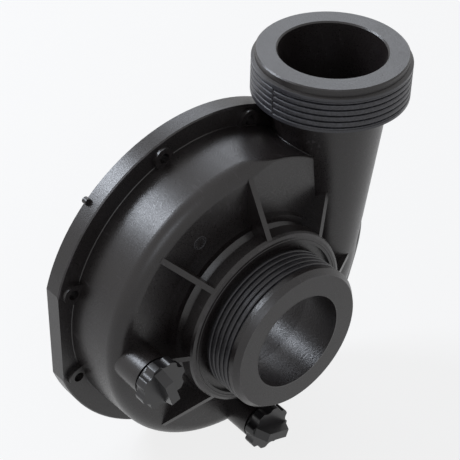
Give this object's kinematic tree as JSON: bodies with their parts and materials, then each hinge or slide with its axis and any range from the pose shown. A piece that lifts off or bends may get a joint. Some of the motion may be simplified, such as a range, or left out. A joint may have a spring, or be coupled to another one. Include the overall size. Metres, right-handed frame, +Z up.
{
  "type": "volute pump casing",
  "caption": "Round volute pump casing with screw flange, threaded front suction port, tangential threaded discharge neck, stiffening ribs and hand-turned drain plugs.",
  "frame": {"origin": "on the shaft axis, in the plane of the flange's back face", "axes": "+Y along the shaft axis out of the flange's back face, so the suction port faces -Y; +Z up along the discharge port's axis; +X towards the discharge side"},
  "size_m": [0.1855, 0.0894, 0.2019],
  "materials": {
    "casing_plastic": "satin moulded",
    "plug_plastic": "satin moulded",
    "seal_rubber": "matt"
  },
  "bodies": {
    "casing": {"volute_casing": "casing_plastic"},
    "left_seal": {"drain_seal_left": "seal_rubber"},
    "left_plug": {"drain_plug_left": "plug_plastic"},
    "low_seal": {"drain_seal_right": "seal_rubber"},
    "low_plug": {"drain_plug_right": "plug_plastic"}
  },
  "joints": [
    {"name": "left_travel", "type": "slide", "parent": "casing", "child": "left_seal", "axis": [0, -1, 0], "range_m": [0, 0.009]},
    {"name": "left_turn", "type": "hinge", "parent": "left_seal", "child": "left_plug", "pos_m": [-0.0671, -0.055, 0], "axis": [0, -1, 0], "range_deg": [0, 2160]},
    {"name": "low_travel", "type": "slide", "parent": "casing", "child": "low_seal", "axis": [0, -1, 0], "range_m": [0, 0.009]},
    {"name": "low_turn", "type": "hinge", "parent": "low_seal", "child": "low_plug", "pos_m": [0, -0.055, -0.0703], "axis": [0, -1, 0], "range_deg": [0, 2160]}
  ],
  "couplings": [
    {"joint": "left_travel", "follows": "left_turn", "m_per_rad": 0.00023873},
    {"joint": "low_travel", "follows": "low_turn", "m_per_rad": 0.00023873}
  ]
}
